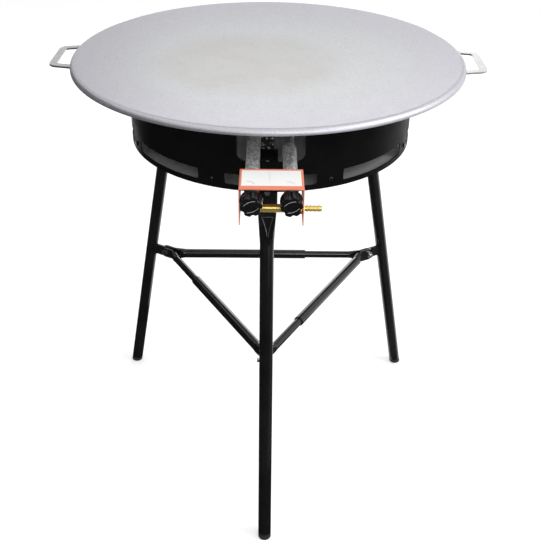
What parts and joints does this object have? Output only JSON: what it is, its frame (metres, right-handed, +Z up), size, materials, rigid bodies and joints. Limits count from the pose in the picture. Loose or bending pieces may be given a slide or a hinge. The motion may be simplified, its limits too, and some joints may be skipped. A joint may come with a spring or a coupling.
{
  "type": "griddle pan with gas burner",
  "caption": "Wide shallow steel griddle pan with loop handles, resting on a ring gas burner in a slotted windshield, with push-and-turn taps under a guard and a braced, splayed tube stand.",
  "frame": {"origin": "on the floor, under the middle of the whole object's box", "axes": "+Z up, -Y towards the cook (the taps), +X to the cook's right"},
  "size_m": [0.8604, 0.896, 0.932],
  "materials": {
    "pan_steel": "satin, spun",
    "handle_steel": "satin",
    "shield_black": "satin",
    "plate_grey": "bare sheet",
    "stand_black": "satin",
    "hammertone": "hammered enamel",
    "zinc": "zinc plated",
    "steel": "turned",
    "brass": "turned",
    "knob_black": "gloss",
    "guard_orange": "semi-gloss",
    "label_white": "printed film",
    "foot_rubber": "matt"
  },
  "bodies": {
    "stand": {"brace_bolts": "zinc", "brace_nuts": "zinc", "brace_rod_back": "stand_black", "brace_rod_left": "stand_black", "brace_rod_right": "stand_black", "brace_sleeve_back": "stand_black", "brace_sleeve_left": "stand_black", "brace_sleeve_right": "stand_black", "brace_tab_front": "stand_black", "brace_tab_left": "stand_black", "brace_tab_right": "stand_black", "burner_arm_front": "hammertone", "burner_arm_left": "hammertone", "burner_arm_right": "hammertone", "burner_inner_ring": "hammertone", "burner_outer_ring": "hammertone", "feed_tube_left": "hammertone", "feed_tube_right": "hammertone", "foot_front": "foot_rubber", "foot_left": "foot_rubber", "foot_right": "foot_rubber", "gas_manifold": "brass", "guard_label": "label_white", "hose_tail": "brass", "injector_left": "brass", "injector_right": "brass", "leg_bolts": "zinc", "leg_bracket_front": "stand_black", "leg_bracket_left": "stand_black", "leg_bracket_right": "stand_black", "leg_front": "stand_black", "leg_left": "stand_black", "leg_nuts": "zinc", "leg_right": "stand_black", "manifold_plug": "brass", "pan_support_front": "hammertone", "pan_support_left": "hammertone", "pan_support_right": "hammertone", "tap_body_left": "brass", "tap_body_right": "brass", "tap_bonnet_left": "brass", "tap_bonnet_right": "brass", "tap_guard": "guard_orange", "windshield": "shield_black", "windshield_floor": "plate_grey", "windshield_nuts": "zinc", "windshield_screws": "stand_black"},
    "pan": {"griddle_pan": "pan_steel", "pan_handle_left": "handle_steel", "pan_handle_right": "handle_steel"},
    "plug_left": {"tap_plug_left": "brass", "tap_spring_left": "steel"},
    "plug_right": {"tap_plug_right": "brass", "tap_spring_right": "steel"},
    "knob_left": {"tap_stem_left": "steel", "knob_left": "knob_black"},
    "knob_right": {"tap_stem_right": "steel", "knob_right": "knob_black"}
  },
  "joints": [
    {"name": "pan_lift", "type": "slide", "parent": "stand", "child": "pan", "axis": [0, 0, 1], "range_m": [0, 0.3]},
    {"name": "tap_turn_left", "type": "hinge", "parent": "stand", "child": "plug_left", "pos_m": [-0.02525, -0.381, 0.8535], "axis": [0, -1, 0], "range_deg": [0, 180]},
    {"name": "knob_push_left", "type": "slide", "parent": "plug_left", "child": "knob_left", "axis": [0, 1, 0], "range_m": [0, 0.004], "stiffness_N_per_m": 1500, "springref_m": -0.002, "deforming": ["tap_spring_left"]},
    {"name": "tap_turn_right", "type": "hinge", "parent": "stand", "child": "plug_right", "pos_m": [0.03825, -0.381, 0.8535], "axis": [0, -1, 0], "range_deg": [0, 180]},
    {"name": "knob_push_right", "type": "slide", "parent": "plug_right", "child": "knob_right", "axis": [0, 1, 0], "range_m": [0, 0.004], "stiffness_N_per_m": 1500, "springref_m": -0.002, "deforming": ["tap_spring_right"]}
  ]
}
